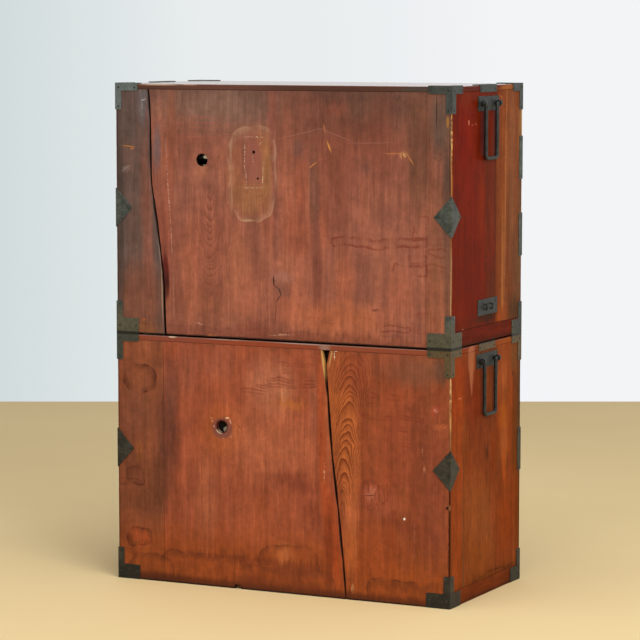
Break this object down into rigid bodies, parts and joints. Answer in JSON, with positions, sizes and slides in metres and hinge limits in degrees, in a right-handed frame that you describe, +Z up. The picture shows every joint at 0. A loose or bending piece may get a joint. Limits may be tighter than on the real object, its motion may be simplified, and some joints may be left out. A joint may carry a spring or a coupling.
{
  "type": "ship chest",
  "caption": "Stacking wooden clothes chest: a loose upper section on a lower one, full-width drawers, nailed board back, iron corner caps, folded iron diamonds and drop handles at the sides.",
  "frame": {"origin": "centre of the wooden underside of the lower section, on the floor", "axes": "+Z up, the drawers open towards -Y, the boarded back faces +Y, +X is the right of someone who opens the drawers"},
  "size_m": [0.8306, 0.3929, 1.094],
  "materials": {
    "back_wood": "softwood boards, thinly stained red-brown, worn and water-stained",
    "case_wood": "softwood boards under worn red lacquer, satin",
    "drawer_front_wood": "softwood under worn red lacquer, satin",
    "inside_wood": "bare aged softwood",
    "iron": "forged sheet and rod with a dark patina, a little grey-green"
  },
  "bodies": {
    "lower_chest": {"lower_back_left_board": "back_wood", "lower_back_middle_board": "back_wood", "lower_back_right_board": "back_wood", "lower_base_rails": "case_wood", "lower_bottom_board": "inside_wood", "lower_corner_caps": "iron", "lower_drawer_rails": "case_wood", "lower_edge_plates": "iron", "lower_handle_eyes": "iron", "lower_handle_plates": "iron", "lower_left_side": "case_wood", "lower_nails": "iron", "lower_right_side": "case_wood", "lower_shelf_boards": "inside_wood", "lower_top_board": "case_wood"},
    "upper_chest": {"upper_back_left_board": "back_wood", "upper_back_middle_board": "back_wood", "upper_back_right_board": "back_wood", "upper_base_rails": "case_wood", "upper_bottom_board": "inside_wood", "upper_catch_plates": "iron", "upper_corner_caps": "iron", "upper_drawer_rails": "case_wood", "upper_edge_plates": "iron", "upper_handle_eyes": "iron", "upper_handle_plates": "iron", "upper_left_side": "case_wood", "upper_nails": "iron", "upper_right_side": "case_wood", "upper_shelf_boards": "inside_wood", "upper_top_board": "case_wood"},
    "drawer_1": {"drawer_1_front": "drawer_front_wood", "drawer_1_box": "inside_wood", "drawer_1_ironwork": "iron"},
    "drawer_2": {"drawer_2_front": "drawer_front_wood", "drawer_2_box": "inside_wood", "drawer_2_ironwork": "iron"},
    "drawer_3": {"drawer_3_front": "drawer_front_wood", "drawer_3_box": "inside_wood", "drawer_3_ironwork": "iron"},
    "drawer_4": {"drawer_4_front": "drawer_front_wood", "drawer_4_box": "inside_wood", "drawer_4_ironwork": "iron"},
    "drawer_5": {"drawer_5_front": "drawer_front_wood", "drawer_5_box": "inside_wood", "drawer_5_ironwork": "iron"},
    "lower_left_handle": {"lower_left_handle": "iron"},
    "lower_right_handle": {"lower_right_handle": "iron"},
    "upper_left_handle": {"upper_left_handle": "iron"},
    "upper_right_handle": {"upper_right_handle": "iron"},
    "drawer_1_left_pull": {"drawer_1_left_pull": "iron"},
    "drawer_1_right_pull": {"drawer_1_right_pull": "iron"},
    "drawer_2_left_pull": {"drawer_2_left_pull": "iron"},
    "drawer_2_right_pull": {"drawer_2_right_pull": "iron"},
    "drawer_3_left_pull": {"drawer_3_left_pull": "iron"},
    "drawer_3_right_pull": {"drawer_3_right_pull": "iron"},
    "drawer_4_left_pull": {"drawer_4_left_pull": "iron"},
    "drawer_4_right_pull": {"drawer_4_right_pull": "iron"},
    "drawer_5_left_pull": {"drawer_5_left_pull": "iron"},
    "drawer_5_right_pull": {"drawer_5_right_pull": "iron"}
  },
  "joints": [
    {"name": "upper_chest_lift", "type": "slide", "parent": "lower_chest", "child": "upper_chest", "axis": [0, 0, 1], "range_m": [0, 0.1]},
    {"name": "drawer_1_slide", "type": "slide", "parent": "upper_chest", "child": "drawer_1", "axis": [0, -1, 0], "range_m": [0, 0.28]},
    {"name": "drawer_1_left_pull_hinge", "type": "hinge", "parent": "drawer_1", "child": "drawer_1_left_pull", "pos_m": [-0.19, -0.195, 1.01675], "axis": [-1, 0, 0], "range_deg": [0, 170]},
    {"name": "drawer_1_right_pull_hinge", "type": "hinge", "parent": "drawer_1", "child": "drawer_1_right_pull", "pos_m": [0.19, -0.195, 1.01675], "axis": [-1, 0, 0], "range_deg": [0, 170]},
    {"name": "drawer_2_slide", "type": "slide", "parent": "upper_chest", "child": "drawer_2", "axis": [0, -1, 0], "range_m": [0, 0.28]},
    {"name": "drawer_2_left_pull_hinge", "type": "hinge", "parent": "drawer_2", "child": "drawer_2_left_pull", "pos_m": [-0.19, -0.195, 0.85525], "axis": [-1, 0, 0], "range_deg": [0, 170]},
    {"name": "drawer_2_right_pull_hinge", "type": "hinge", "parent": "drawer_2", "child": "drawer_2_right_pull", "pos_m": [0.19, -0.195, 0.85525], "axis": [-1, 0, 0], "range_deg": [0, 170]},
    {"name": "drawer_3_slide", "type": "slide", "parent": "upper_chest", "child": "drawer_3", "axis": [0, -1, 0], "range_m": [0, 0.28]},
    {"name": "drawer_3_left_pull_hinge", "type": "hinge", "parent": "drawer_3", "child": "drawer_3_left_pull", "pos_m": [-0.19, -0.195, 0.67675], "axis": [-1, 0, 0], "range_deg": [0, 170]},
    {"name": "drawer_3_right_pull_hinge", "type": "hinge", "parent": "drawer_3", "child": "drawer_3_right_pull", "pos_m": [0.19, -0.195, 0.67675], "axis": [-1, 0, 0], "range_deg": [0, 170]},
    {"name": "drawer_4_slide", "type": "slide", "parent": "lower_chest", "child": "drawer_4", "axis": [0, -1, 0], "range_m": [0, 0.28]},
    {"name": "drawer_4_left_pull_hinge", "type": "hinge", "parent": "drawer_4", "child": "drawer_4_left_pull", "pos_m": [-0.19, -0.195, 0.42275], "axis": [-1, 0, 0], "range_deg": [0, 170]},
    {"name": "drawer_4_right_pull_hinge", "type": "hinge", "parent": "drawer_4", "child": "drawer_4_right_pull", "pos_m": [0.19, -0.195, 0.42275], "axis": [-1, 0, 0], "range_deg": [0, 170]},
    {"name": "drawer_5_slide", "type": "slide", "parent": "lower_chest", "child": "drawer_5", "axis": [0, -1, 0], "range_m": [0, 0.28]},
    {"name": "drawer_5_left_pull_hinge", "type": "hinge", "parent": "drawer_5", "child": "drawer_5_left_pull", "pos_m": [-0.19, -0.195, 0.16675], "axis": [-1, 0, 0], "range_deg": [0, 170]},
    {"name": "drawer_5_right_pull_hinge", "type": "hinge", "parent": "drawer_5", "child": "drawer_5_right_pull", "pos_m": [0.19, -0.195, 0.16675], "axis": [-1, 0, 0], "range_deg": [0, 170]},
    {"name": "lower_left_handle_hinge", "type": "hinge", "parent": "lower_chest", "child": "lower_left_handle", "pos_m": [-0.4085, 0, 0.508], "axis": [0, 1, 0], "range_deg": [0, 170]},
    {"name": "lower_right_handle_hinge", "type": "hinge", "parent": "lower_chest", "child": "lower_right_handle", "pos_m": [0.4085, 0, 0.508], "axis": [0, -1, 0], "range_deg": [0, 170]},
    {"name": "upper_left_handle_hinge", "type": "hinge", "parent": "upper_chest", "child": "upper_left_handle", "pos_m": [-0.4085, 0, 1.054], "axis": [0, 1, 0], "range_deg": [0, 180]},
    {"name": "upper_right_handle_hinge", "type": "hinge", "parent": "upper_chest", "child": "upper_right_handle", "pos_m": [0.4085, 0, 1.054], "axis": [0, -1, 0], "range_deg": [0, 180]}
  ]
}
